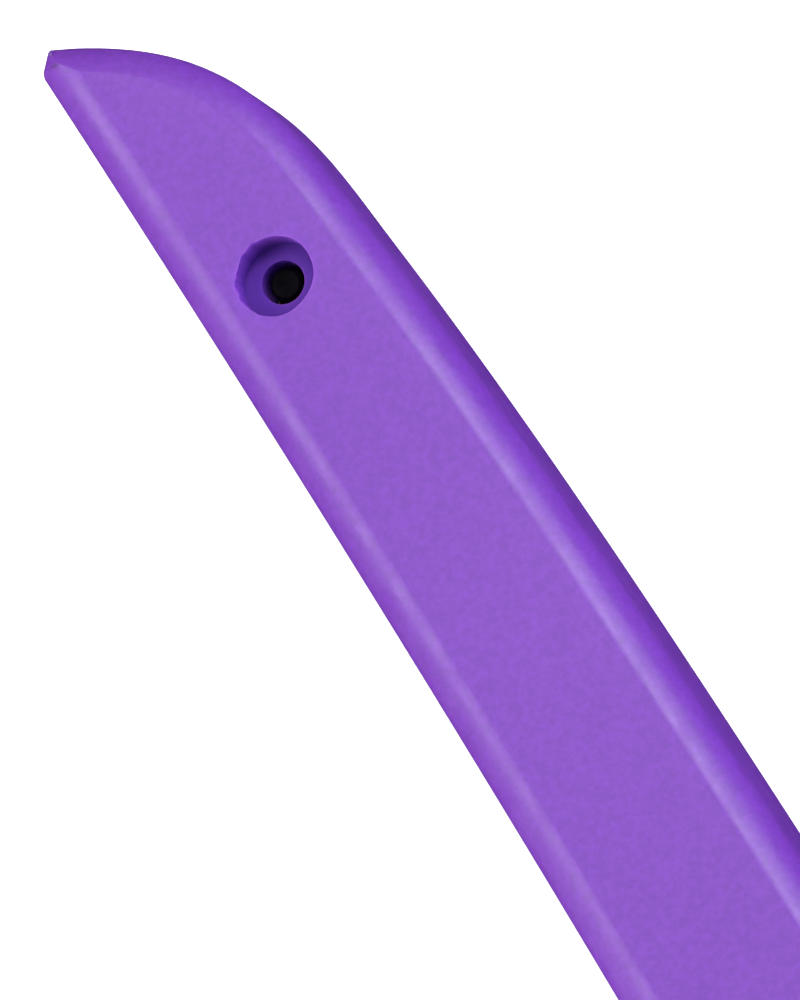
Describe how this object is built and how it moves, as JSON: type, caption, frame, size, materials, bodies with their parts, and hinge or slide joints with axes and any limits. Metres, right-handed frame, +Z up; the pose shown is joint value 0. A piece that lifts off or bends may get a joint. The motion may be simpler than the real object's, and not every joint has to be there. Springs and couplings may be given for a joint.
{
  "type": "decorative edge scissors",
  "caption": "Craft scissors with moulded plastic arms, finger bows and wavy steel blades that cut a decorative paper edge.",
  "frame": {"origin": "on the pivot axis, at the underside of the pivot nut, level with the resting plane", "axes": "+X along the finger arm's cutting line towards its tip, +Z up along the pivot axis, away from the table"},
  "size_m": [0.1653, 0.1429, 0.011],
  "materials": {
    "purple_plastic": "satin moulded plastic, purple",
    "stainless_steel": "stamped stainless sheet, fine brushing",
    "black_oxide_steel": "black oxide",
    "nickel_plate": "bright nickel plate",
    "white_nylon": "natural nylon"
  },
  "bodies": {
    "finger_side": {"finger_arm": "purple_plastic", "finger_blade": "stainless_steel", "finger_blade_screw": "black_oxide_steel", "pivot_nut": "nickel_plate", "pivot_screw": "nickel_plate", "spacer_washer": "white_nylon"},
    "thumb_side": {"thumb_arm": "purple_plastic", "thumb_blade": "stainless_steel", "thumb_blade_screw": "black_oxide_steel", "wave_washer": "nickel_plate"}
  },
  "joints": [
    {"name": "pivot", "type": "hinge", "parent": "finger_side", "child": "thumb_side", "pos_m": [0, 0, 0.0055], "axis": [0, 0, -1], "range_deg": [-50, 10]}
  ]
}
